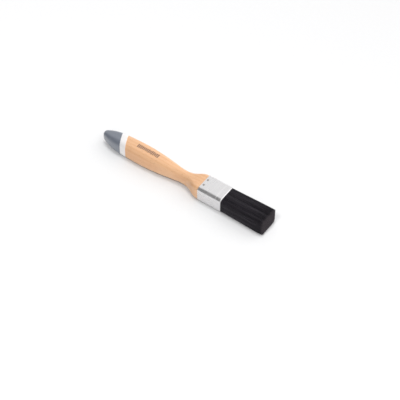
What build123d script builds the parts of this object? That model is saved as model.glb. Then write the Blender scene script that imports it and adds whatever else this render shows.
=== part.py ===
"""Flat 25 mm paint brush: a beech handle with a two-colour dipped tip, a plated steel
ferrule nailed to the handle's tenon, and a flared block of black filaments.

The brush lies on its flat side. +X runs along it towards the bristle tips, +Z is up,
z = 0 is the surface it lies on, and x = 0 is midway along its whole length.
"""
from build123d import *

import os
from math import cos, pi

os.makedirs("parts", exist_ok=True)

# ---------------------------------------------------------------- driving dimensions, mm
handle_length = 132.6  # butt end to the rear edge of the ferrule
ferrule_length = 29.4
bristle_length = 53.5  # free length, ferrule mouth to filament tips
axis_height = 10.4  # centre line above the surface that the brush lies on

ferrule_width = 25.0
ferrule_thickness = 19.8
ferrule_corner = 4.2
ferrule_wall = 0.45

bead_from_mouth = 7.7
bead_width = 3.4
bead_height = 0.18

seam_lap = 5.0  # how far the strip's outer end lies over its inner end
seam_ramp = 1.25  # the part of the lap that slopes down to the inner end
seam_step = 0.4

nail_from_rear = 2.6
nail_spacing = 8.0
nail_head_radius = 1.3
nail_head_height = 0.45
nail_shank_radius = 0.55
nail_length = 7.5
nail_point = 1.2

tenon_length = 12.0
tenon_chamfer = 0.8
resin_length = 3.5  # the block of resin between the tenon and the roots of the filaments
spacer_width = 17.0
spacer_thickness = 3.4
spacer_length = 12.0
spacer_nose = 1.4

tip_width = 25.9
tip_thickness = 20.8
tip_corner = 4.6
tip_rounding = 2.0
middle_fan = 0.62  # the share of the fan already reached halfway along the free filaments

coat_thickness = 0.2
white_dip = 30.2  # butt end to the dip line, on the centre line
grey_dip = 22.7
dip_slant = 25.0  # degrees that the dip lines lean across the flat of the handle

# Handle stations: distance from the butt end, width, thickness, corner radius.
butt = (0.0, 5.8, 9.4, 2.6)
tip_cone = [(2.4, 8.6, 11.7, 3.4), (6.6, 11.8, 13.8, 4.1), (11.6, 14.9, 15.8, 4.6), (21.5, 17.9, 18.3, 5.4)]
belly = [(34.5, 19.7, 19.9, 6.0), (53.5, 20.3, 20.6, 6.2), (75.5, 17.9, 19.6, 6.0)]
neck = [(92.5, 14.2, 17.4, 5.4), (106.5, 11.6, 15.4, 5.0), (113.5, 12.2, 15.3, 4.6)]
shoulder = [(119.5, 16.6, 16.7, 4.4), (125.5, 22.9, 18.5, 4.1), (129.0, 24.5, 19.2, 3.9)]
handle_head = (handle_length, 24.5, 19.2, 3.9)
handle_stations = [butt, *tip_cone, *belly, *neck, *shoulder, handle_head]
section_pitch = 4.0  # spacing of the sections that the handle is lofted through
butt_sections = 1.2  # closer spacing over the rounded butt end
butt_round = tip_cone[1][0]  # how far that rounded end reaches

# ---------------------------------------------------------------- places along the brush
butt_x = -(handle_length + ferrule_length + bristle_length) / 2
ferrule_rear_x = butt_x + handle_length
mouth_x = ferrule_rear_x + ferrule_length
tip_x = mouth_x + bristle_length
resin_x = ferrule_rear_x + tenon_length
root_x = resin_x + resin_length
bead_x = mouth_x - bead_from_mouth

bore_width = ferrule_width - 2 * ferrule_wall
bore_thickness = ferrule_thickness - 2 * ferrule_wall
bore_corner = ferrule_corner - ferrule_wall


def across(x):
    """Plane square to the brush at x, with its own x across the brush and its y up."""
    return Plane(origin=(x, 0, axis_height), x_dir=(0, 1, 0), z_dir=(1, 0, 0))


def save(piece, name):
    """Name a finished piece and write it as its own STEP file."""
    piece.part.label = name
    export_step(piece.part, "parts/" + name + ".step")


def station_slopes(sizes):
    """Slope of a smooth curve at each station, level where the curve turns back."""
    runs = [b[0] - a[0] for a, b in zip(handle_stations, handle_stations[1:])]
    rises = [(b - a) / run for a, b, run in zip(sizes, sizes[1:], runs)]
    inner = [2 * a * b / (a + b) if a * b > 0 else 0.0 for a, b in zip(rises, rises[1:])]
    return [rises[0], *inner, rises[-1]]


def handle_size(distance, column):
    """Width, thickness or corner radius (column 1, 2 or 3) at a distance from the butt end."""
    sizes = [station[column] for station in handle_stations]
    slopes = station_slopes(sizes)
    last = len(handle_stations) - 2
    k = min(sum(station[0] <= distance for station in handle_stations) - 1, last)
    run = handle_stations[k + 1][0] - handle_stations[k][0]
    t = (distance - handle_stations[k][0]) / run
    return (
        (1 + 2 * t) * (1 - t) ** 2 * sizes[k]
        + t * (1 - t) ** 2 * run * slopes[k]
        + t**2 * (3 - 2 * t) * sizes[k + 1]
        - t**2 * (1 - t) * run * slopes[k + 1]
    )


def handle_form(growth):
    """The handle's outer form from the butt end to the ferrule, grown all round."""
    close = [step * butt_sections for step in range(round(butt_round / butt_sections))]
    count = round((handle_length - butt_round) / section_pitch)
    pitch = (handle_length - butt_round) / count
    distances = close + [butt_round + step * pitch for step in range(count + 1)]
    with BuildPart() as form:
        for distance in distances:
            start = butt_x + distance
            if distance == 0.0:
                start -= growth
            width, thickness, corner = (handle_size(distance, column) for column in (1, 2, 3))
            with BuildSketch(across(start)):
                RectangleRounded(width + 2 * growth, thickness + 2 * growth, corner + growth)
        loft(ruled=True)
    return form.part


def dip_plane(distance):
    """The slanted plane that a dip stops at, facing the bristles."""
    facing = Vector(1, 0, 0).rotate(Axis.Z, dip_slant)
    return Plane(origin=(butt_x + distance, 0, axis_height), z_dir=facing)


# ---------------------------------------------------------------- nails
nail_dome_radius = (nail_head_radius**2 + nail_head_height**2) / (2 * nail_head_height)

with BuildPart() as nail:
    with BuildSketch(Plane.XZ):
        with BuildLine():
            Polyline(
                (0, nail_head_height),
                (0, -nail_length),
                (nail_shank_radius, nail_point - nail_length),
                (nail_shank_radius, 0),
                (nail_head_radius, 0),
            )
            RadiusArc((nail_head_radius, 0), (0, nail_head_height), -nail_dome_radius)
        make_face()
    revolve(axis=Axis.Z)

nail_rise = ferrule_thickness / 2
nail_places = [
    Location((ferrule_rear_x + nail_from_rear, side * nail_spacing / 2, axis_height + up * nail_rise), turn)
    for side in (-1, 1)
    for up, turn in ((1, (0, 0, 0)), (-1, (180, 0, 0)))
]

with BuildPart() as ferrule_nails:
    with Locations(*nail_places):
        add(nail.part)
save(ferrule_nails, "ferrule_nails")

# ---------------------------------------------------------------- handle
handle_outside = handle_form(0.0)

with BuildPart() as handle:
    add(handle_outside)
    with BuildSketch(across(ferrule_rear_x)):
        RectangleRounded(bore_width, bore_thickness, bore_corner)
    extrude(amount=tenon_length)
    chamfer(handle.faces().sort_by(Axis.X)[-1].edges(), tenon_chamfer)
    add(ferrule_nails.part, mode=Mode.SUBTRACT)
save(handle, "handle")

# ---------------------------------------------------------------- dipped coats
white_outside = handle_form(coat_thickness)
grey_outside = handle_form(2 * coat_thickness)

with BuildPart() as white_dip_coat:
    add(white_outside)
    split(bisect_by=dip_plane(white_dip), keep=Keep.BOTTOM)
    add(handle_outside, mode=Mode.SUBTRACT)
save(white_dip_coat, "white_dip_coat")

with BuildPart() as grey_dip_coat:
    add(grey_outside)
    split(bisect_by=dip_plane(grey_dip), keep=Keep.BOTTOM)
    add(white_outside, mode=Mode.SUBTRACT)
save(grey_dip_coat, "grey_dip_coat")


# ---------------------------------------------------------------- ferrule
def bead_ring(inset):
    """A low round roll that follows the ferrule's outline, set in from its outside."""
    with BuildPart() as ring:
        for step in range(-2, 3):
            swell = bead_height * (1 + cos(pi * step / 2)) / 2 - inset
            with BuildSketch(across(bead_x + step * bead_width / 4)):
                RectangleRounded(
                    ferrule_width + 2 * swell,
                    ferrule_thickness + 2 * swell,
                    ferrule_corner + swell,
                )
        loft()
    return ring.part


outer_bead = bead_ring(0.0)
inner_bead = bead_ring(ferrule_wall)

with BuildPart() as ferrule:
    with BuildSketch(across(ferrule_rear_x)):
        RectangleRounded(ferrule_width, ferrule_thickness, ferrule_corner)
    extrude(amount=ferrule_length)
    add(outer_bead)
    with BuildSketch(across(ferrule_rear_x)):
        with BuildLine():
            side = ferrule_width / 2
            Polyline(
                (side - ferrule_wall, seam_lap / 2),
                (side + seam_step, seam_lap / 2),
                (side + seam_step, seam_ramp - seam_lap / 2),
                (side, -seam_lap / 2),
                (side - ferrule_wall, -seam_lap / 2),
                close=True,
            )
        make_face()
    extrude(amount=ferrule_length)
    with BuildSketch(across(ferrule_rear_x)):
        RectangleRounded(bore_width, bore_thickness, bore_corner)
    extrude(amount=ferrule_length, mode=Mode.SUBTRACT)
    add(inner_bead, mode=Mode.SUBTRACT)
    add(ferrule_nails.part, mode=Mode.SUBTRACT)
save(ferrule, "ferrule")

# ---------------------------------------------------------------- spacer plug
with BuildPart() as spacer_plug:
    with BuildSketch(across(root_x)):
        Rectangle(spacer_width, spacer_thickness)
    extrude(amount=spacer_length)
    nose_edges = spacer_plug.faces().sort_by(Axis.X)[-1].edges().filter_by(Axis.Y)
    chamfer(nose_edges, spacer_nose)
save(spacer_plug, "spacer_plug")

# ---------------------------------------------------------------- bristle packs
middle_width = bore_width + middle_fan * (tip_width - bore_width)
middle_thickness = bore_thickness + middle_fan * (tip_thickness - bore_thickness)

with BuildPart() as bristle_block:
    with BuildSketch(across(root_x)):
        RectangleRounded(bore_width, bore_thickness, bore_corner)
    extrude(amount=mouth_x - root_x)
    with BuildSketch(across(mouth_x)):
        RectangleRounded(bore_width, bore_thickness, bore_corner)
    with BuildSketch(across(mouth_x + bristle_length / 2)):
        RectangleRounded(middle_width, middle_thickness, (bore_corner + tip_corner) / 2)
    with BuildSketch(across(tip_x)):
        RectangleRounded(tip_width, tip_thickness, tip_corner)
    loft()
    fillet(bristle_block.faces().sort_by(Axis.X)[-1].edges(), tip_rounding)
    add(spacer_plug.part, mode=Mode.SUBTRACT)

part_line = Plane.XY.offset(axis_height)

with BuildPart() as upper_bristle_pack:
    add(bristle_block.part)
    split(bisect_by=part_line, keep=Keep.TOP)
save(upper_bristle_pack, "upper_bristle_pack")

with BuildPart() as lower_bristle_pack:
    add(bristle_block.part)
    split(bisect_by=part_line, keep=Keep.BOTTOM)
save(lower_bristle_pack, "lower_bristle_pack")

# ---------------------------------------------------------------- setting resin
with BuildPart() as setting_resin:
    with BuildSketch(across(resin_x)):
        RectangleRounded(bore_width, bore_thickness, bore_corner)
    extrude(amount=resin_length)
save(setting_resin, "setting_resin")
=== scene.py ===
import math

import bmesh
import bpy
import numpy as np
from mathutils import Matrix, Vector


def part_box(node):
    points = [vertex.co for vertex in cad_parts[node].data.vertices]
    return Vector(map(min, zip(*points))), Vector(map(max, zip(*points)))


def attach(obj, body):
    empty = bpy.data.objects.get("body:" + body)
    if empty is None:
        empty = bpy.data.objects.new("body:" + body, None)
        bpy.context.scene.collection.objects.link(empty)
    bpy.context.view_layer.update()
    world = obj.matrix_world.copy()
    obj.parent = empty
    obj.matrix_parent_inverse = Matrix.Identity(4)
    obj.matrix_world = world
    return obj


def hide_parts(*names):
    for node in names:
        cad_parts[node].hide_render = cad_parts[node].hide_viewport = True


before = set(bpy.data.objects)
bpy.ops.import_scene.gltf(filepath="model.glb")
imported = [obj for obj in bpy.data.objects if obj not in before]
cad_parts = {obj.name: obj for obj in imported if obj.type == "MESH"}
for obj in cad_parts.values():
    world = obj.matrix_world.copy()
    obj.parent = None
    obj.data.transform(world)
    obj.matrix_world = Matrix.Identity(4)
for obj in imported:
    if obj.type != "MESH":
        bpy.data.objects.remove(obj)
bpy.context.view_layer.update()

MM = 0.001

# ---------------------------------------------------------------- places read from the frame
butt_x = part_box("handle")[0][0]
rear_x, mouth_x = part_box("ferrule")[0][0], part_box("ferrule")[1][0]
tip_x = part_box("upper_bristle_pack")[1][0]
axis_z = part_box("upper_bristle_pack")[0][2]
tenon_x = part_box("handle")[1][0]

# ---------------------------------------------------------------- sizes the finish needs
coat_thickness = 0.2 * MM
coat_lip = 0.14 * MM
dip_slope = math.tan(math.radians(25.0))
sheet = 0.45 * MM  # wall of the ferrule
sheet_edge = 0.09 * MM  # rounding of the sheet's cut edges
bead_centre = mouth_x - 7.7 * MM
bead_half = 1.7 * MM
bead_rise = 0.18 * MM
ferrule_low, ferrule_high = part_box("ferrule")
ferrule_half_width = -ferrule_low.y - bead_rise
ferrule_half_height = (ferrule_high.z - ferrule_low.z) / 2 - bead_rise
ferrule_corner = 4.2 * MM
flat_crown = 0.22 * MM  # how far the middle of each broad face stands out
dish_depth, dish_reach = 0.3 * MM, 2.3 * MM  # the dish round each nail
curl_depth, curl_reach = 0.28 * MM, 1.1 * MM  # the curled front edge
seam_half = 2.5 * MM
seam_step = 0.35 * MM
seam_edge = 0.06 * MM
seam_flat, seam_slope = 0.55, 0.45  # shares of the lap that lie flat and that slope down to the sheet
nail_head_height = 0.45 * MM
nail_rim = 0.1 * MM  # straight edge below the dome
nail_shank_radius = 0.55 * MM
nail_shank, nail_point = 6 * MM, 1.2 * MM
nail_sink = 0.12 * MM  # how far the heads sit down in their dishes
filament_pitch = 0.25 * MM  # from one filament or row to the next
least_bend = 0.3 * MM  # smallest corner radius of an inner row
fan_curve = 1.4  # how early along its free length the block widens
core_inset = 0.55 * MM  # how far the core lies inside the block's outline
core_rear, core_front = -0.24, 0.86  # the core's ends, as shares of the free length
floor_gap = 0.05 * MM  # the least height of a filament over the table


# ---------------------------------------------------------------- small tools
def start_piece(name):
    """A new empty mesh object, selected alone and open in edit mode."""
    bpy.ops.object.select_all(action="DESELECT")
    piece = bpy.data.objects.new(name, bpy.data.meshes.new(name))
    bpy.context.collection.objects.link(piece)
    bpy.context.view_layer.objects.active = piece
    piece.select_set(True)
    bpy.ops.object.mode_set(mode="EDIT")
    return piece


def pick(piece):
    """Make one object the only selected one, and active."""
    if bpy.context.object and bpy.context.object.mode == "EDIT":
        bpy.ops.object.mode_set(mode="OBJECT")
    bpy.ops.object.select_all(action="DESELECT")
    bpy.context.view_layer.objects.active = piece
    piece.select_set(True)


def copy_of(piece, name):
    """A copy with its own mesh."""
    twin = piece.copy()
    twin.data = piece.data.copy()
    twin.name = twin.data.name = name
    bpy.context.collection.objects.link(twin)
    return twin


def select_verts(piece, test):
    """In edit mode: select exactly the vertices that pass a test of their place."""
    bpy.ops.mesh.select_mode(type="VERT")
    bpy.ops.mesh.select_all(action="DESELECT")
    shape = bmesh.from_edit_mesh(piece.data)
    for vert in shape.verts:
        vert.select_set(bool(test(vert.co)))
    shape.select_flush_mode()
    bmesh.update_edit_mesh(piece.data)


def select_edges(piece, test):
    """In edit mode: select exactly the edges that pass a test."""
    bpy.ops.mesh.select_mode(type="EDGE")
    bpy.ops.mesh.select_all(action="DESELECT")
    shape = bmesh.from_edit_mesh(piece.data)
    for edge in shape.edges:
        edge.select_set(bool(test(edge)))
    bmesh.update_edit_mesh(piece.data)


def use_modifier(piece, kind, **settings):
    """Add a modifier with its settings and apply it."""
    pick(piece)
    modifier = piece.modifiers.new(kind.lower(), kind)
    for key, value in settings.items():
        setattr(modifier, key, value)
    bpy.ops.object.modifier_apply(modifier=modifier.name)


def smooth(piece, degrees=35):
    pick(piece)
    bpy.ops.object.shade_smooth_by_angle(angle=math.radians(degrees))


def outward(piece):
    """Merge doubles and turn all faces outwards."""
    pick(piece)
    bpy.ops.object.mode_set(mode="EDIT")
    bpy.ops.mesh.select_all(action="SELECT")
    bpy.ops.mesh.remove_doubles(threshold=0.002 * MM)
    bpy.ops.mesh.normals_make_consistent(inside=False)
    bpy.ops.object.mode_set(mode="OBJECT")


def section_at(node, x):
    """Half width, half height and corner radius of a CAD node where the plane at x cuts it."""
    x += 0.003 * MM  # clear of a row of vertices that stands exactly at x
    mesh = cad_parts[node].data
    points = np.empty(len(mesh.vertices) * 3)
    mesh.vertices.foreach_get("co", points)
    points = points.reshape(-1, 3)
    ends = np.empty(len(mesh.edges) * 2, dtype=int)
    mesh.edges.foreach_get("vertices", ends)
    a, b = points[ends.reshape(-1, 2)].transpose(1, 0, 2)
    crossing = (a[:, 0] - x) * (b[:, 0] - x) < 0
    a, b = a[crossing], b[crossing]
    cut = a + (b - a) * ((x - a[:, 0]) / (b[:, 0] - a[:, 0]))[:, None]
    across, up = np.abs(cut[:, 1]), np.abs(cut[:, 2] - axis_z)
    slack = across.max() + up.max() - (across + up).max()
    return across.max(), up.max(), slack / (2 - math.sqrt(2))


def add_ring(piece, x, half_width, half_height, corner, corner_steps, flat_cuts):
    """In edit mode: add a rounded rectangle of edges, square to the brush at x."""
    centre = (x, 0, axis_z)
    bpy.ops.mesh.select_mode(type="VERT")
    bpy.ops.mesh.select_all(action="DESELECT")
    bpy.ops.mesh.primitive_circle_add(
        vertices=4, radius=math.sqrt(0.5), location=centre, rotation=(0, math.pi / 2, 0), fill_type="NOTHING"
    )
    bpy.ops.transform.rotate(value=math.pi / 4, orient_axis="X", center_override=centre)
    bpy.ops.transform.resize(value=(1, 2 * half_width, 2 * half_height), center_override=centre)
    bpy.ops.mesh.bevel(offset=corner, offset_type="OFFSET", segments=corner_steps, affect="VERTICES")
    if flat_cuts:
        shortest = min(half_width, half_height) * 2 - 2 * corner
        step = 2 * corner * math.sin(math.pi / 4 / corner_steps)

        def is_flat(edge):
            here = all(abs(vert.co.x - x) < 1e-7 for vert in edge.verts)
            along = edge.verts[1].co - edge.verts[0].co
            square = min(abs(along.y), abs(along.z)) < 1e-6
            return here and square and edge.calc_length() > 0.9 * min(shortest, step)

        select_edges(piece, is_flat)
        bpy.ops.mesh.subdivide(number_cuts=flat_cuts)


def bridge_rings():
    """In edit mode: skin all the rings, in their order along the brush."""
    bpy.ops.mesh.select_mode(type="EDGE")
    bpy.ops.mesh.select_all(action="SELECT")
    bpy.ops.mesh.bridge_edge_loops()


def cap_ring(piece, x, inset):
    """In edit mode: close the ring at x with a face and one inset round it."""
    select_verts(piece, lambda co: abs(co.x - x) < 1e-7)
    bpy.ops.mesh.edge_face_add()
    bpy.ops.mesh.inset(thickness=inset)


# ---------------------------------------------------------------- handle
def handle_rings():
    """Places along the handle for its rings: close together at the round butt end."""
    length = rear_x - butt_x
    near_butt = [butt_x + share * length for share in (0.0008, 0.009, 0.018, 0.03)]
    rest = [butt_x + share * length for share in np.linspace(0.05, 0.9995, 33)]
    return near_butt + rest


def make_handle_form():
    """The whole outside of the handle, from its butt end to the ferrule, open at the ferrule."""
    form = start_piece("handle_form")
    rings = handle_rings()
    for x in rings:
        half_width, half_height, corner = section_at("handle", x)
        add_ring(form, x, half_width, half_height, min(corner, 0.94 * half_width), 4, 2)
    bridge_rings()
    cap_ring(form, rings[0], 0.8 * MM)
    bpy.ops.object.mode_set(mode="OBJECT")
    outward(form)
    use_modifier(form, "SUBSURF", levels=2, render_levels=2)
    return form


def make_handle(form):
    """The wooden handle: the form, stepped in at the ferrule to its tenon."""
    handle = copy_of(form, "beech_handle")
    pick(handle)
    bpy.ops.object.mode_set(mode="EDIT")
    front = max(vert.co.x for vert in handle.data.vertices)
    half_width, half_height, _ = section_at("handle", (rear_x + tenon_x) / 2)
    outer_width, outer_height, _ = section_at("handle", rear_x - 0.1 * MM)
    select_verts(handle, lambda co: abs(co.x - front) < 1e-6)
    centre = (front, 0, axis_z)
    bpy.ops.mesh.extrude_edges_move(TRANSFORM_OT_translate={"value": (rear_x - front, 0, 0)})
    bpy.ops.mesh.extrude_edges_move(TRANSFORM_OT_translate={"value": (0, 0, 0)})
    slimmer = (1, 0.985 * half_width / outer_width, 0.985 * half_height / outer_height)
    bpy.ops.transform.resize(value=slimmer, center_override=centre)
    bpy.ops.mesh.extrude_edges_move(TRANSFORM_OT_translate={"value": (tenon_x - rear_x, 0, 0)})
    bpy.ops.mesh.edge_face_add()
    bpy.ops.object.mode_set(mode="OBJECT")
    outward(handle)
    smooth(handle)
    return handle


# ---------------------------------------------------------------- dipped coats
def dip_line(node):
    """Where a coat's slanted front plane meets the centre line."""
    return max(vert.co.x + dip_slope * vert.co.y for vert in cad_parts[node].data.vertices)


def make_coat(form, name, node, layers):
    """A lacquer skin round the butt end, with a soft rounded lip where the dip stopped."""
    coat = copy_of(form, name)
    line = dip_line(node)
    pick(coat)
    bpy.ops.object.mode_set(mode="EDIT")
    bpy.ops.mesh.select_all(action="SELECT")
    bpy.ops.transform.shrink_fatten(value=layers * coat_thickness)
    facing = Vector((1, dip_slope, 0)).normalized()
    bpy.ops.mesh.bisect(plane_co=(line, 0, axis_z), plane_no=facing, clear_outer=True)
    bpy.ops.object.mode_set(mode="OBJECT")
    use_modifier(coat, "SOLIDIFY", thickness=coat_thickness, offset=-1.0)
    bpy.ops.object.mode_set(mode="EDIT")

    def on_outer_lip(edge):
        on_plane = all(abs(vert.co.x + dip_slope * vert.co.y - line) < 2e-6 for vert in edge.verts)
        folded = len(edge.link_faces) == 2 and edge.calc_face_angle(0) > 1.0
        return on_plane and folded and edge.is_convex

    select_edges(coat, on_outer_lip)
    bpy.ops.mesh.bevel(offset=coat_lip, segments=3, affect="EDGES", clamp_overlap=True)
    bpy.ops.object.mode_set(mode="OBJECT")
    smooth(coat, 50)
    return coat


# ---------------------------------------------------------------- ferrule
def bead_swell(x):
    """How far the sheet stands out at x because of the rolled bead."""
    reach = (x - bead_centre) / bead_half
    return bead_rise * (1 + math.cos(math.pi * reach)) / 2 if abs(reach) < 1 else 0.0


def ferrule_rings():
    """Places for the rings of the sheet: close together over the bead and at the two ends."""
    ends = [rear_x, rear_x + 0.3 * MM, rear_x + 0.9 * MM]
    plain = list(np.linspace(rear_x + 1.6 * MM, bead_centre - bead_half - 0.4 * MM, 16))
    bead = list(np.linspace(bead_centre - bead_half, bead_centre + bead_half, 13))
    front = list(np.linspace(bead_centre + bead_half + 0.6 * MM, mouth_x - 1.2 * MM, 4))
    lip = [mouth_x - back * MM for back in (0.75, 0.5, 0.3, 0.12, 0.0)]
    return ends + plain + bead + front + lip


def mouth_curl(x):
    """How far the sheet turns in at x, over the last stretch before the mouth."""
    reach = max(0.0, 1 - (mouth_x - x) / curl_reach)
    return -curl_depth * reach**2


def nail_places():
    """Centre line of each nail, on both flat faces: x, y and the side it is driven from."""
    low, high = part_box("ferrule_nails")
    head = (high[0] - low[0]) / 2
    return [((low[0] + high[0]) / 2, y, side) for y in (low[1] + head, high[1] - head) for side in (1, -1)]


def press_nail_dishes(piece):
    """A shallow dish in the sheet round each nail."""
    places = nail_places()
    for vert in piece.data.vertices:
        for x, y, side in places:
            away = math.hypot(vert.co.x - x, vert.co.y - y)
            if away < dish_reach and (vert.co.z - axis_z) * side > 0:
                vert.co.z -= side * dish_depth * (1 + math.cos(math.pi * away / dish_reach)) / 2


def crown_flats(piece, half_width, half_height):
    """The two broad faces bulge a little, most in their middle."""
    for vert in piece.data.vertices:
        over = 1 - (vert.co.y / half_width) ** 2
        along = math.sin(math.pi * min(1.0, max(0.0, (vert.co.x - rear_x) / (mouth_x - rear_x))))
        if abs(vert.co.z - axis_z) > 0.9 * half_height and over > 0:
            vert.co.z += math.copysign(flat_crown * over * along, vert.co.z - axis_z)


def make_seam_lap(half_width):
    """The strip's outer end, lapped over its inner end on the far narrow side."""
    bpy.ops.object.select_all(action="DESELECT")
    bpy.ops.mesh.primitive_grid_add(
        x_subdivisions=60,
        y_subdivisions=8,
        size=1,
        location=((rear_x + mouth_x) / 2, half_width, axis_z),
        rotation=(-math.pi / 2, 0, 0),
    )
    lap = bpy.context.object
    lap.name = "seam_lap"
    bpy.ops.transform.resize(
        value=(mouth_x - rear_x - 0.3 * MM, 1, 2 * seam_half), center_override=lap.location
    )
    bpy.ops.object.transform_apply(location=True, rotation=True, scale=True)
    for vert in lap.data.vertices:
        drop = (axis_z + seam_half - vert.co.z) / (2 * seam_half)
        joggle = 0.5 + 0.5 * math.cos(math.pi * min(1.0, max(0.0, (drop - seam_flat) / seam_slope)))
        sheet_y = half_width + bead_swell(vert.co.x) + mouth_curl(vert.co.x)
        vert.co.y = sheet_y + seam_step * joggle - 0.01 * MM  # its inner face just below the sheet
    use_modifier(lap, "SOLIDIFY", thickness=seam_step, offset=-1.0)
    use_modifier(lap, "BEVEL", width=seam_edge, segments=2, limit_method="ANGLE")
    return lap


def make_ferrule():
    """The plated sheet round the brush: rings along it, a wall's thickness, nail dishes and the lap."""
    ferrule = start_piece("ferrule_sheet")
    half_width, half_height = ferrule_half_width, ferrule_half_height
    for x in ferrule_rings():
        swell = bead_swell(x) + mouth_curl(x)
        add_ring(ferrule, x, half_width + swell, half_height + swell, ferrule_corner + swell, 7, 7)
    bridge_rings()
    bpy.ops.object.mode_set(mode="OBJECT")
    outward(ferrule)
    use_modifier(ferrule, "SUBSURF", levels=1, render_levels=1)
    crown_flats(ferrule, half_width, half_height)
    press_nail_dishes(ferrule)
    use_modifier(ferrule, "SOLIDIFY", thickness=sheet, offset=-1.0)
    use_modifier(ferrule, "BEVEL", width=sheet_edge, segments=2, limit_method="ANGLE", angle_limit=1.0)
    lap = make_seam_lap(half_width)
    pick(ferrule)
    lap.select_set(True)
    bpy.ops.object.join()
    smooth(ferrule, 40)
    return ferrule


# ---------------------------------------------------------------- nails
def make_first_nail(x, y):
    """One nail, driven from above: a domed head, drawn out into a shank and a point."""
    low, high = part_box("ferrule_nails")
    head_radius = (high[0] - low[0]) / 2
    top = high[2] - nail_head_height
    flatter = (1, 1, nail_head_height / head_radius)
    bpy.ops.object.select_all(action="DESELECT")
    bpy.ops.mesh.primitive_uv_sphere_add(
        segments=32, ring_count=16, radius=head_radius, location=(x, y, top)
    )
    nail = bpy.context.object
    nail.name = "nail_heads"
    bpy.ops.object.mode_set(mode="EDIT")
    bpy.ops.mesh.select_all(action="SELECT")
    bpy.ops.transform.resize(value=flatter, center_override=(x, y, top))
    bpy.ops.mesh.bisect(
        plane_co=(x, y, top - nail_rim), plane_no=(0, 0, 1), clear_inner=True, use_fill=True
    )
    bpy.ops.mesh.inset(thickness=head_radius - nail_shank_radius)
    bpy.ops.mesh.extrude_region_move(TRANSFORM_OT_translate={"value": (0, 0, -nail_shank)})
    bpy.ops.mesh.extrude_region_move(TRANSFORM_OT_translate={"value": (0, 0, -nail_point)})
    bpy.ops.transform.resize(value=(0.1, 0.1, 1), center_override=(x, y, top))
    bpy.ops.object.mode_set(mode="OBJECT")
    bpy.ops.object.transform_apply(location=True, rotation=True, scale=True)
    return nail


def make_nails():
    """Four nails: one made, the others copied from it, and all sunk a little into their dishes."""
    places = nail_places()
    first_x, first_y, _ = places[0]
    first = make_first_nail(first_x, first_y)
    copies = []
    for number, (x, y, side) in enumerate(places[1:], start=1):
        nail = copy_of(first, f"nail_{number}")
        pick(nail)
        bpy.ops.object.mode_set(mode="EDIT")
        bpy.ops.mesh.select_all(action="SELECT")
        bpy.ops.transform.translate(value=(x - first_x, y - first_y, 0))
        if side < 0:
            bpy.ops.transform.rotate(value=math.pi, orient_axis="X", center_override=(x, y, axis_z))
        bpy.ops.object.mode_set(mode="OBJECT")
        copies.append(nail)
    pick(first)
    for nail in copies:
        nail.select_set(True)
    bpy.ops.object.join()
    for vert in first.data.vertices:
        vert.co.z -= math.copysign(nail_sink, vert.co.z - axis_z)
    smooth(first, 40)
    return first


# ---------------------------------------------------------------- filaments
def block_section(share):
    """The filament block's half width, half height and corner radius, from 0, mouth, to 1, tips."""
    mouth = section_at("lower_bristle_pack", mouth_x + 0.3 * MM)
    fan = section_at("lower_bristle_pack", tip_x - 2.3 * MM)
    spread = 1 - (1 - share) ** fan_curve
    return [a + (b - a) * spread for a, b in zip(mouth, fan)]


def make_core(side):
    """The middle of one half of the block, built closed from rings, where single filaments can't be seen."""
    core = start_piece("upper_filaments" if side > 0 else "lower_filaments")
    for share in (core_rear, -0.02, 0.1, 0.3, 0.5, 0.7, core_front):
        half_width, half_height, corner = block_section(max(share, 0.0))
        x = mouth_x + share * (tip_x - mouth_x)
        add_ring(core, x, half_width - core_inset, half_height - core_inset, corner - 0.4 * core_inset, 4, 0)
    bridge_rings()
    for share in (core_rear, core_front):
        x = mouth_x + share * (tip_x - mouth_x)
        select_verts(core, lambda co: abs(co.x - x) < 1e-7)
        bpy.ops.mesh.edge_face_add()
    bpy.ops.mesh.select_all(action="SELECT")
    bpy.ops.mesh.bisect(
        plane_co=(0, 0, axis_z), plane_no=(0, 0, side), clear_inner=True, use_fill=True
    )
    bpy.ops.object.mode_set(mode="OBJECT")
    outward(core)
    return core


def make_one_filament(rings):
    """A single three-sided filament of unit length and radius, drawn in to a finer tip."""
    bpy.ops.object.select_all(action="DESELECT")
    bpy.ops.mesh.primitive_circle_add(vertices=3, radius=1, rotation=(0, math.pi / 2, 0), fill_type="NOTHING")
    filament = bpy.context.object
    filament.name = "one_filament"
    bpy.ops.object.mode_set(mode="EDIT")
    bpy.ops.mesh.select_all(action="SELECT")
    steps = [1 - (1 - step / rings) ** 1.3 for step in range(rings + 1)]
    for before, after in zip(steps, steps[1:]):
        bpy.ops.mesh.extrude_edges_move(TRANSFORM_OT_translate={"value": (after - before, 0, 0)})
        if after > 0.8:
            bpy.ops.transform.resize(value=(1, 0.55, 0.55), center_override=(after, 0, 0))
    bpy.ops.mesh.edge_face_add()
    bpy.ops.object.mode_set(mode="OBJECT")
    bpy.ops.object.transform_apply(location=True, rotation=True, scale=True)
    outward(filament)
    points = np.array([vert.co for vert in filament.data.vertices])
    faces = [list(face.vertices) for face in filament.data.polygons]
    bpy.data.objects.remove(filament)
    return points, faces


def plant(side, rows, seed):
    """Filament roots of one half of the block, by rows from the outside: across, up, and the row."""
    draw = np.random.default_rng(seed)
    half_width, half_height, corner = block_section(1.0)
    roots = []
    for row in rows:
        inset = (row + 0.35) * filament_pitch
        width, height, bend = half_width - inset, half_height - inset, max(corner - inset, least_bend)
        straight = [2 * (width - bend), 2 * (height - bend)]
        turn = bend * math.pi / 2
        around = 2 * sum(straight) + 4 * turn
        count = int(around / filament_pitch)
        for step in range(count):
            run = (step + draw.uniform(0.1, 0.9)) * around / count
            y, z = walk_round(run, width, height, bend, straight, turn)
            if z * side >= 0:
                roots.append((y / half_width, z / half_height, row))
    return np.array(roots)


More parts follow.
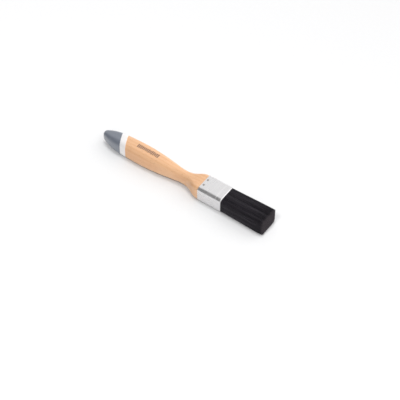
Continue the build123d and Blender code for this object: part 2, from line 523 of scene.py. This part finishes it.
def walk_round(run, width, height, bend, straight, turn):
    """The point a distance round a rounded rectangle, from the top left going right."""
    legs = [straight[0], turn, straight[1], turn] * 2
    corners = [(1, 1), (1, -1), (-1, -1), (-1, 1)]
    for number, leg in enumerate(legs):
        if run <= leg:
            break
        run -= leg
    side, rounded = divmod(number, 2)
    if rounded:
        sy, sz = corners[side]
        start = math.pi / 2 - side * math.pi / 2
        angle = start - run / bend
        return sy * (width - bend) + bend * math.cos(angle), sz * (height - bend) + bend * math.sin(angle)
    if side == 0:
        return run - (width - bend), height
    if side == 1:
        return width, (height - bend) - run
    if side == 2:
        return (width - bend) - run, -height
    return -width, run - (height - bend)


def grow(roots, rings, start_share, seed):
    """Copy the one filament to every root, each with its own length, lean, wave and thickness."""
    draw = np.random.default_rng(seed)
    points, faces = make_one_filament(rings)
    count = len(roots)
    y, z, row = roots.T
    mouth, fan = np.array(block_section(0.0)[:2]), np.array(block_section(1.0)[:2])
    edge = np.maximum(np.abs(y), np.abs(z))
    reach = 1 - 0.004 * edge**2 - 0.022 * edge**14 - np.abs(draw.normal(0, 0.004, count))
    reach -= np.where(draw.random(count) < 0.04, draw.uniform(0.01, 0.05, count), 0)
    length = (tip_x - mouth_x) * reach
    thick = draw.uniform(0.085, 0.125, count) * MM
    lean = draw.normal(0, 0.13, (2, count)) * MM
    stray = np.where(draw.random(count) < 0.02, draw.uniform(1, 2.6, count), 1)
    swing = draw.uniform(0, 2 * math.pi, (2, count))
    wave = draw.uniform(0.02, 0.09, (2, count)) * MM
    turn = draw.uniform(0, 2 * math.pi, count)
    share = start_share + (1 - start_share) * points[:, 0]
    along = share[None, :] * length[:, None]
    spread = 1 - (1 - np.clip(share, 0, 1)) ** fan_curve
    places = []
    for axis, root in enumerate((y, z)):
        centre = root[:, None] * (mouth[axis] + (fan[axis] - mouth[axis]) * spread[None, :])
        centre = centre + (lean[axis] * stray)[:, None] * share[None, :] ** 2
        centre = centre + wave[axis][:, None] * np.sin(5.0 * share[None, :] + swing[axis][:, None])
        places.append(centre)
    cos, sin = np.cos(turn)[:, None], np.sin(turn)[:, None]
    ring_y, ring_z = points[None, :, 1] * thick[:, None], points[None, :, 2] * thick[:, None]
    placed_y = places[0] + cos * ring_y - sin * ring_z
    placed_z = places[1] + sin * ring_y + cos * ring_z + axis_z
    placed_z = np.maximum(placed_z, floor_gap)
    placed = np.stack([mouth_x + along, placed_y, placed_z], axis=-1).reshape(-1, 3)
    size = len(points)
    skin = [[corner + size * number for corner in face] for number in range(count) for face in faces]
    mesh = bpy.data.meshes.new("grown_filaments")
    mesh.from_pydata(placed.tolist(), [], skin)
    grown = bpy.data.objects.new("grown_filaments", mesh)
    bpy.context.collection.objects.link(grown)
    return grown


def make_filaments(side):
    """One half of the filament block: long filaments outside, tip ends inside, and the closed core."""
    outer_rows, inner_rows = range(0, 5), range(5, 42)
    seed = 20 + side
    core = make_core(side)
    long_ones = grow(plant(side, outer_rows, seed), 6, -0.02, seed + 10)
    short_ones = grow(plant(side, inner_rows, seed + 20), 2, 0.84, seed + 30)
    pick(core)
    long_ones.select_set(True)
    short_ones.select_set(True)
    bpy.ops.object.join()
    smooth(core, 70)
    return core


# ---------------------------------------------------------------- material tools
def add_node(tree, kind, **values):
    """A shader node with its properties and named input values set."""
    made = tree.nodes.new(kind)
    for key, value in values.items():
        if hasattr(made, key):
            setattr(made, key, value)
        else:
            made.inputs[key.replace("_", " ")].default_value = value
    return made


def join(tree, source, target):
    tree.links.new(source, target)


def remap(tree, value, low, high, to_low=0.0, to_high=1.0):
    """Map a value from one range to another, smoothly and clamped."""
    made = add_node(tree, "ShaderNodeMapRange", interpolation_type="SMOOTHSTEP")
    join(tree, value, made.inputs["Value"])
    for name, number in zip(("From Min", "From Max", "To Min", "To Max"), (low, high, to_low, to_high)):
        made.inputs[name].default_value = number
    return made.outputs["Result"]


def calc(tree, operation, a, b=None):
    """A Math node on two values, each a socket or a number."""
    made = add_node(tree, "ShaderNodeMath", operation=operation)
    for number, value in enumerate((a, b)):
        if value is None:
            continue
        if isinstance(value, (int, float)):
            made.inputs[number].default_value = value
        else:
            join(tree, value, made.inputs[number])
    return made.outputs["Value"]


def blend_colours(tree, share, first, second, kind="MIX"):
    """Mix two colours, each a socket or a tuple, by a share that is a socket or a number."""
    made = add_node(tree, "ShaderNodeMix", data_type="RGBA", blend_type=kind)
    for socket, value in ((made.inputs[0], share), (made.inputs[6], first), (made.inputs[7], second)):
        if isinstance(value, (tuple, int, float)):
            socket.default_value = value
        else:
            join(tree, value, socket)
    return made.outputs[2]


def stretched(tree, scale):
    """Object coordinates, scaled differently along, across and up."""
    place = add_node(tree, "ShaderNodeTexCoord")
    mapping = add_node(tree, "ShaderNodeMapping")
    mapping.inputs["Scale"].default_value = scale
    join(tree, place.outputs["Object"], mapping.inputs["Vector"])
    return mapping.outputs["Vector"]


def noise(tree, vector, scale, detail=3.0, roughness=0.5):
    made = add_node(tree, "ShaderNodeTexNoise", Scale=scale, Detail=detail, Roughness=roughness)
    join(tree, vector, made.inputs["Vector"])
    return made.outputs["Fac"]


def new_group(name, inputs, outputs):
    """An empty shader node group with named inputs and outputs."""
    tree = bpy.data.node_groups.new(name, "ShaderNodeTree")
    for label, kind, value in inputs:
        made = tree.interface.new_socket(name=label, in_out="INPUT", socket_type=kind)
        if value is not None:
            made.default_value = value
    for label in outputs:
        tree.interface.new_socket(name=label, in_out="OUTPUT", socket_type="NodeSocketFloat")
    return tree, tree.nodes.new("NodeGroupInput"), tree.nodes.new("NodeGroupOutput")


def place_group(tree, group, **values):
    """A node group placed in a material, with its own values."""
    made = tree.nodes.new("ShaderNodeGroup")
    made.node_tree = group
    for key, value in values.items():
        made.inputs[key.replace("_", " ")].default_value = value
    return made


def make_handling_wear():
    """Finger smudges and tiny specks, shared by every finish that is touched."""
    floats = [("Smudge Size", "NodeSocketFloat", 90.0), ("Speck Size", "NodeSocketFloat", 1400.0)]
    tree, given, out = new_group("handling_wear", floats, ("Smudge", "Speck"))
    place = add_node(tree, "ShaderNodeTexCoord")
    cloud = add_node(tree, "ShaderNodeTexNoise", Detail=4.0, Roughness=0.6)
    join(tree, place.outputs["Object"], cloud.inputs["Vector"])
    join(tree, given.outputs["Smudge Size"], cloud.inputs["Scale"])
    dots = add_node(tree, "ShaderNodeTexVoronoi", feature="F1")
    join(tree, place.outputs["Object"], dots.inputs["Vector"])
    join(tree, given.outputs["Speck Size"], dots.inputs["Scale"])
    chance = add_node(tree, "ShaderNodeSeparateColor")
    join(tree, dots.outputs["Color"], chance.inputs["Color"])
    near = remap(tree, dots.outputs["Distance"], 0.10, 0.24, 1.0, 0.0)
    rare = remap(tree, chance.outputs["Red"], 0.93, 0.96)
    join(tree, remap(tree, cloud.outputs["Fac"], 0.42, 0.66), out.inputs["Smudge"])
    join(tree, calc(tree, "MULTIPLY", near, rare), out.inputs["Speck"])
    return tree


def make_long_streaks():
    """Fine lines drawn out along one direction, shared by wood, metal and filaments."""
    vectors = [("Stretch", "NodeSocketVector", (20.0, 900.0, 900.0))]
    tree, given, out = new_group("long_streaks", vectors, ("Fine", "Broad"))
    place = add_node(tree, "ShaderNodeTexCoord")
    scaled = add_node(tree, "ShaderNodeVectorMath", operation="MULTIPLY")
    join(tree, place.outputs["Object"], scaled.inputs[0])
    join(tree, given.outputs["Stretch"], scaled.inputs[1])
    join(tree, noise(tree, scaled.outputs["Vector"], 1.0, 4.0, 0.65), out.inputs["Fine"])
    join(tree, noise(tree, scaled.outputs["Vector"], 0.16, 2.0, 0.5), out.inputs["Broad"])
    return tree


def new_material(name):
    made = bpy.data.materials.new(name)
    made.use_nodes = True
    return made, made.node_tree, made.node_tree.nodes["Principled BSDF"]


def bump(tree, shader, height, strength, distance):
    made = add_node(tree, "ShaderNodeBump", Strength=strength, Distance=distance)
    join(tree, height, made.inputs["Height"])
    join(tree, made.outputs["Normal"], shader.inputs["Normal"])


def clothe(piece, material):
    """Give a piece, or a CAD node, one material."""
    piece.data.materials.clear()
    piece.data.materials.append(material)


# ---------------------------------------------------------------- materials
def printed_bars(tree):
    """Mask of a plain stamp on the handle's flat: a row of upright bars of slightly uneven height."""
    place = add_node(tree, "ShaderNodeTexCoord")
    split = add_node(tree, "ShaderNodeSeparateXYZ")
    join(tree, place.outputs["Object"], split.inputs["Vector"])
    half_length, pitch = 14.2 * MM, 2.03 * MM
    centre_x, centre_y = butt_x + 58.8 * MM, 0.5 * MM
    half_height, soft_edge = 2.2 * MM, 0.06 * MM
    along = calc(tree, "SUBTRACT", split.outputs["X"], centre_x)
    across = calc(tree, "ABSOLUTE", calc(tree, "SUBTRACT", split.outputs["Y"], centre_y))
    in_pitches = calc(tree, "DIVIDE", along, pitch)
    beat = calc(tree, "ABSOLUTE", calc(tree, "SUBTRACT", calc(tree, "FRACT", in_pitches), 0.5))
    out = calc(tree, "ABSOLUTE", calc(tree, "DIVIDE", along, half_length))
    one_bar = add_node(tree, "ShaderNodeTexWhiteNoise", noise_dimensions="1D")
    join(tree, calc(tree, "FLOOR", in_pitches), one_bar.inputs["W"])
    uneven = remap(tree, one_bar.outputs["Value"], 0.0, 1.0, 0.85, 1.2)
    height = calc(tree, "MULTIPLY", uneven, half_height)
    bar = remap(tree, beat, 0.38, 0.42, 1.0, 0.0)
    tall = remap(tree, calc(tree, "SUBTRACT", across, height), -soft_edge, soft_edge, 1.0, 0.0)
    ends = remap(tree, out, 0.99, 1.0, 1.0, 0.0)
    upper = remap(tree, split.outputs["Z"], axis_z, axis_z + 1 * MM)
    mask = calc(tree, "MULTIPLY", calc(tree, "MULTIPLY", bar, tall), calc(tree, "MULTIPLY", ends, upper))
    worn = remap(tree, noise(tree, place.outputs["Object"], 1500.0, 3.0, 0.7), 0.30, 0.52, 0.5, 1.0)
    return calc(tree, "MULTIPLY", mask, worn)


def beech_material(streaks, wear):
    """Lacquered beech: soft growth rings, fine pores and short darker flecks, with the stamp on it."""
    material, tree, shader = new_material("lacquered_beech")
    ring_place = stretched(tree, (5.0, 70.0, 95.0))
    rings = add_node(tree, "ShaderNodeTexWave", Scale=1.1, Distortion=3.2, Detail=2.0)
    rings.wave_type, rings.bands_direction = "BANDS", "Y"
    rings.inputs["Detail Scale"].default_value = 0.8
    join(tree, ring_place, rings.inputs["Vector"])
    lines = place_group(tree, streaks, Stretch=(30.0, 1300.0, 1300.0))
    colour = blend_colours(
        tree, remap(tree, rings.outputs["Fac"], 0.2, 0.95), (0.775, 0.46, 0.26, 1), (0.74, 0.415, 0.22, 1)
    )
    pale_streak = remap(tree, lines.outputs["Broad"], 0.35, 0.7, 0.0, 0.4)
    colour = blend_colours(tree, pale_streak, colour, (0.83, 0.515, 0.30, 1))
    dark_streak = remap(tree, lines.outputs["Fine"], 0.52, 0.75, 0.0, 0.3)
    colour = blend_colours(tree, dark_streak, colour, (0.60, 0.33, 0.165, 1))
    fleck_place = stretched(tree, (300.0, 1700.0, 1700.0))
    flecks = add_node(tree, "ShaderNodeTexVoronoi", feature="F1", Scale=1.0)
    join(tree, fleck_place, flecks.inputs["Vector"])
    chance = add_node(tree, "ShaderNodeSeparateColor")
    join(tree, flecks.outputs["Color"], chance.inputs["Color"])
    shape = remap(tree, flecks.outputs["Distance"], 0.18, 0.42, 1.0, 0.0)
    fleck = calc(tree, "MULTIPLY", shape, remap(tree, chance.outputs["Green"], 0.55, 0.9, 0.0, 0.55))
    colour = blend_colours(tree, fleck, colour, (0.50, 0.25, 0.125, 1))
    stamp = printed_bars(tree)
    colour = blend_colours(tree, calc(tree, "MULTIPLY", stamp, 0.85), colour, (0.16, 0.085, 0.065, 1))
    join(tree, colour, shader.inputs["Base Color"])
    touched = place_group(tree, wear, Smudge_Size=70.0, Speck_Size=900.0)
    join(tree, remap(tree, touched.outputs["Smudge"], 0, 1, 0.38, 0.52), shader.inputs["Roughness"])
    shader.inputs["Specular IOR Level"].default_value = 0.35
    shader.inputs["Coat Weight"].default_value = 0.25
    shader.inputs["Coat Roughness"].default_value = 0.25
    height = calc(tree, "SUBTRACT", lines.outputs["Fine"], fleck)
    bump(tree, shader, height, 0.25, 0.05 * MM)
    return material


def lacquer_material(name, colour, deeper, wear, streaks):
    """Dipped gloss lacquer: faint sags that run towards the butt end, specks, and soft orange peel."""
    material, tree, shader = new_material(name)
    touched = place_group(tree, wear, Smudge_Size=110.0, Speck_Size=1100.0)
    sags = place_group(tree, streaks, Stretch=(60.0, 260.0, 260.0))
    shade = blend_colours(tree, remap(tree, sags.outputs["Fine"], 0.35, 0.7, 0.0, 0.6), colour, deeper)
    speck = calc(tree, "MULTIPLY", touched.outputs["Speck"], 0.5)
    shade = blend_colours(tree, speck, shade, (0.45, 0.42, 0.40, 1))
    join(tree, shade, shader.inputs["Base Color"])
    join(tree, remap(tree, touched.outputs["Smudge"], 0, 1, 0.32, 0.48), shader.inputs["Roughness"])
    shader.inputs["Specular IOR Level"].default_value = 0.3
    shader.inputs["Coat Weight"].default_value = 1.0
    shader.inputs["Coat Roughness"].default_value = 0.10
    peel = noise(tree, stretched(tree, (1.0, 1.0, 1.0)), 900.0, 2.0, 0.5)
    runs = calc(tree, "MULTIPLY", sags.outputs["Fine"], 1.4)
    bump(tree, shader, calc(tree, "ADD", runs, calc(tree, "MULTIPLY", peel, 0.5)), 0.12, 0.06 * MM)
    return material


def plated_steel_material(name, colour, worn, streaks, wear, roughest):
    """Bright plated sheet: fine rolling lines, cloudy smudges and a few worn spots."""
    material, tree, shader = new_material(name)
    rolled = place_group(tree, streaks, Stretch=(700.0, 40.0, 40.0))
    scuffs = place_group(tree, streaks, Stretch=(90.0, 1500.0, 1500.0))
    touched = place_group(tree, wear, Smudge_Size=85.0, Speck_Size=1500.0)
    shade = blend_colours(tree, remap(tree, rolled.outputs["Fine"], 0.35, 0.7, 0.0, 0.5), colour, worn)
    speck = calc(tree, "MULTIPLY", touched.outputs["Speck"], 0.7)
    shade = blend_colours(tree, speck, shade, (0.28, 0.25, 0.22, 1))
    join(tree, shade, shader.inputs["Base Color"])
    shader.inputs["Metallic"].default_value = 1.0
    cloudy = remap(tree, touched.outputs["Smudge"], 0, 1, roughest * 0.75, roughest)
    lines = remap(tree, scuffs.outputs["Fine"], 0.45, 0.75, 0.0, 0.06)
    join(tree, calc(tree, "ADD", cloudy, lines), shader.inputs["Roughness"])
    height = calc(tree, "ADD", rolled.outputs["Fine"], calc(tree, "MULTIPLY", scuffs.outputs["Fine"], 0.5))
    bump(tree, shader, height, 0.10, 0.008 * MM)
    return material


def filament_material(streaks):
    """Black synthetic filament: each strand its own depth of black, paler close to the tips."""
    material, tree, shader = new_material("black_filament")
    strands = place_group(tree, streaks, Stretch=(14.0, 2600.0, 2600.0))
    depth = remap(tree, strands.outputs["Fine"], 0.35, 0.72)
    colour = blend_colours(tree, depth, (0.011, 0.0088, 0.0138, 1), (0.031, 0.026, 0.035, 1))
    place = add_node(tree, "ShaderNodeTexCoord")
    split = add_node(tree, "ShaderNodeSeparateXYZ")
    join(tree, place.outputs["Object"], split.inputs["Vector"])
    near_tip = remap(tree, split.outputs["X"], tip_x - 3.5 * MM, tip_x, 0.0, 0.9)
    colour = blend_colours(tree, near_tip, colour, (0.085, 0.073, 0.081, 1))
    join(tree, colour, shader.inputs["Base Color"])
    join(tree, remap(tree, strands.outputs["Fine"], 0.3, 0.7, 0.36, 0.58), shader.inputs["Roughness"])
    shader.inputs["Specular IOR Level"].default_value = 0.45
    bump(tree, shader, strands.outputs["Fine"], 0.35, 0.08 * MM)
    return material


def cast_material(name, pale, deep, roughness, scale):
    """A plain cast or sawn stuff with mottled depth, for the pieces inside the ferrule."""
    material, tree, shader = new_material(name)
    mottle = noise(tree, stretched(tree, (1.0, 1.0, 1.0)), scale, 4.0, 0.6)
    join(tree, blend_colours(tree, remap(tree, mottle, 0.35, 0.65), pale, deep), shader.inputs["Base Color"])
    join(tree, remap(tree, mottle, 0.3, 0.7, roughness, roughness + 0.2), shader.inputs["Roughness"])
    bump(tree, shader, mottle, 0.3, 0.1 * MM)
    return material


# ---------------------------------------------------------------- studio
def make_camera():
    """A long lens, a little under a metre and a half away, looking down on the near side."""
    turn, rise, away = math.radians(35.45), math.radians(50.04), 1.3867
    aim = Vector((23.9, -5.9, -5.2)) * MM
    back = Vector((math.sin(turn) * math.cos(rise), -math.cos(turn) * math.cos(rise), math.sin(rise)))
    data = bpy.data.cameras.new("studio_camera")
    data.sensor_width, data.lens = 36.0, 117.0
    camera = bpy.data.objects.new("studio_camera", data)
    camera.location = aim + back * away
    camera.rotation_euler = back.to_track_quat("Z", "Y").to_euler()
    bpy.context.collection.objects.link(camera)
    bpy.context.scene.camera = camera


def add_lamp(name, place, size, power):
    """A square lamp aimed at the brush."""
    data = bpy.data.lights.new(name, "AREA")
    data.shape, data.size, data.energy = "SQUARE", size, power
    lamp = bpy.data.objects.new(name, data)
    lamp.location = place
    lamp.rotation_euler = (Vector(place) - Vector((0, 0, axis_z))).to_track_quat("Z", "Y").to_euler()
    bpy.context.collection.objects.link(lamp)
    return lamp


def make_studio():
    """Pale floor and surround, a softbox on the tip side, and two lamps that light only the floor."""
    bpy.ops.object.select_all(action="DESELECT")
    bpy.ops.mesh.primitive_plane_add(size=8, location=(0, 0, 0))
    floor = bpy.context.object
    floor.name = "studio_floor"
    material, tree, shader = new_material("floor_paper")
    fibre = noise(tree, stretched(tree, (1.0, 1.0, 1.0)), 300.0, 3.0, 0.5)
    paper = blend_colours(tree, fibre, (0.52, 0.52, 0.523, 1), (0.50, 0.50, 0.503, 1))
    join(tree, paper, shader.inputs["Base Color"])
    shader.inputs["Roughness"].default_value = 0.9
    shader.inputs["Specular IOR Level"].default_value = 0.1
    clothe(floor, material)
    world = bpy.data.worlds.new("pale_surround")
    world.use_nodes = True
    bpy.context.scene.world = world
    tree = world.node_tree
    place = add_node(tree, "ShaderNodeTexCoord")
    split = add_node(tree, "ShaderNodeSeparateXYZ")
    join(tree, place.outputs["Generated"], split.inputs["Vector"])
    far_side = remap(tree, split.outputs["Y"], -0.10, 0.34, 0.28, 1.05)
    tip_side = remap(tree, split.outputs["X"], -0.15, 0.40, 0.0, 1.10)
    join(tree, calc(tree, "ADD", far_side, tip_side), tree.nodes["Background"].inputs["Color"])
    tree.nodes["Background"].inputs["Strength"].default_value = 1.0
    add_lamp("tip_side_softbox", (1.1, -0.45, 1.8), 1.0, 7.0)
    only_floor = bpy.data.collections.new("lit_by_table_lamps")
    only_floor.objects.link(floor)
    overhead = add_lamp("overhead_table_lamp", (0, 0.12, 2.3), 0.5, 22.0)
    front = add_lamp("front_table_lamp", (0, -1, 1.9), 0.5, 23.0)
    for table_lamp in (overhead, front):
        table_lamp.light_linking.receiver_collection = only_floor
    bpy.context.scene.view_settings.view_transform = "Standard"


# ---------------------------------------------------------------- making it
make_camera()
make_studio()

handle_form = make_handle_form()
beech_handle = make_handle(handle_form)
white_coat = make_coat(handle_form, "white_lacquer", "white_dip_coat", 1)
grey_coat = make_coat(handle_form, "grey_lacquer", "grey_dip_coat", 2)
bpy.data.objects.remove(handle_form)
ferrule_sheet = make_ferrule()
nail_heads = make_nails()
upper_filaments = make_filaments(1)
lower_filaments = make_filaments(-1)

long_streaks = make_long_streaks()
handling_wear = make_handling_wear()
clothe(beech_handle, beech_material(long_streaks, handling_wear))
white = lacquer_material(
    "white_dip", (0.84, 0.815, 0.81, 1), (0.80, 0.77, 0.76, 1), handling_wear, long_streaks
)
grey = lacquer_material(
    "blue_grey_dip", (0.165, 0.185, 0.225, 1), (0.14, 0.158, 0.195, 1), handling_wear, long_streaks
)
clothe(white_coat, white)
clothe(grey_coat, grey)
bright = plated_steel_material(
    "bright_plated_steel", (0.735, 0.725, 0.73, 1), (0.655, 0.645, 0.65, 1), long_streaks, handling_wear, 0.36
)
clothe(ferrule_sheet, bright)
dull = plated_steel_material(
    "nail_steel", (0.36, 0.345, 0.33, 1), (0.27, 0.255, 0.24, 1), long_streaks, handling_wear, 0.5
)
clothe(nail_heads, dull)
black = filament_material(long_streaks)
clothe(upper_filaments, black)
clothe(lower_filaments, black)
resin = cast_material("amber_resin", (0.45, 0.28, 0.10, 1), (0.30, 0.16, 0.05, 1), 0.15, 400.0)
clothe(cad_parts["setting_resin"], resin)
spacer = cast_material("sawn_spacer", (0.62, 0.46, 0.30, 1), (0.50, 0.35, 0.22, 1), 0.6, 700.0)
clothe(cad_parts["spacer_plug"], spacer)

stands_for = [
    (beech_handle, "handle", "beech"),
    (white_coat, "white_dip_coat", "white_lacquer"),
    (grey_coat, "grey_dip_coat", "grey_lacquer"),
    (ferrule_sheet, "ferrule", "plated_steel"),
    (nail_heads, "ferrule_nails", "nail_steel"),
    (upper_filaments, "upper_bristle_pack", "filament"),
    (lower_filaments, "lower_bristle_pack", "filament"),
]
for piece, node, slot in stands_for:
    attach(piece, "root")
    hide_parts(node)
